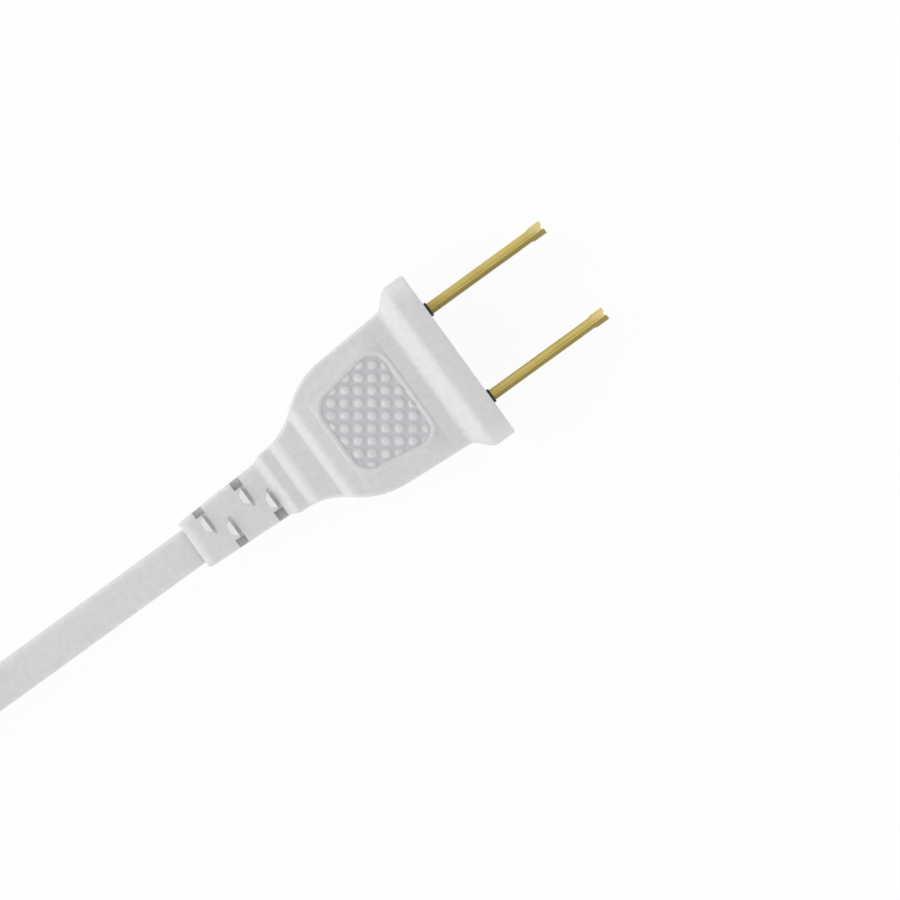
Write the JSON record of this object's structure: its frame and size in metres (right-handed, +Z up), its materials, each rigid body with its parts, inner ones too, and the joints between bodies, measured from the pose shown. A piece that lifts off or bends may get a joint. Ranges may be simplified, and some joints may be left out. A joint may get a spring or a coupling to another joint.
{
  "type": "extension lead",
  "caption": "Moulded flat-blade plug with a textured grip and a notched strain relief, on a flat cord tied in a hank that ends in a moulded socket.",
  "frame": {"origin": "on the floor under the middle of the plug, halfway between its blade tips and the end of its strain relief", "axes": "+X along the blades, away from the cord; +Z up, out of the plug's broad face"},
  "size_m": [0.3143, 0.0336, 0.0269],
  "materials": {
    "grey_vinyl": "soft satin moulding",
    "cord_vinyl": "satin extruded sheath",
    "black_resin": "hard moulded, satin",
    "pale_resin": "hard moulded, satin",
    "blade_brass": "pressed sheet, semi-bright",
    "copper": "fine bare strands",
    "core_vinyl": "smooth insulation",
    "tie_rubber": "matt strap"
  },
  "bodies": {
    "root": {"plug_body": "grey_vinyl", "plug_insert": "black_resin", "cord_lead": "cord_vinyl", "cord_hank": "cord_vinyl", "cord_tail": "cord_vinyl", "hank_tie": "tie_rubber", "socket_body": "grey_vinyl", "socket_insert": "pale_resin", "plug_blade_left": "blade_brass", "plug_strands_left": "copper", "plug_core_left": "core_vinyl", "socket_contact_left": "blade_brass", "socket_strands_left": "copper", "socket_core_left": "core_vinyl", "plug_blade_right": "blade_brass", "plug_strands_right": "copper", "plug_core_right": "core_vinyl", "socket_contact_right": "blade_brass", "socket_strands_right": "copper", "socket_core_right": "core_vinyl"}
  },
  "joints": []
}
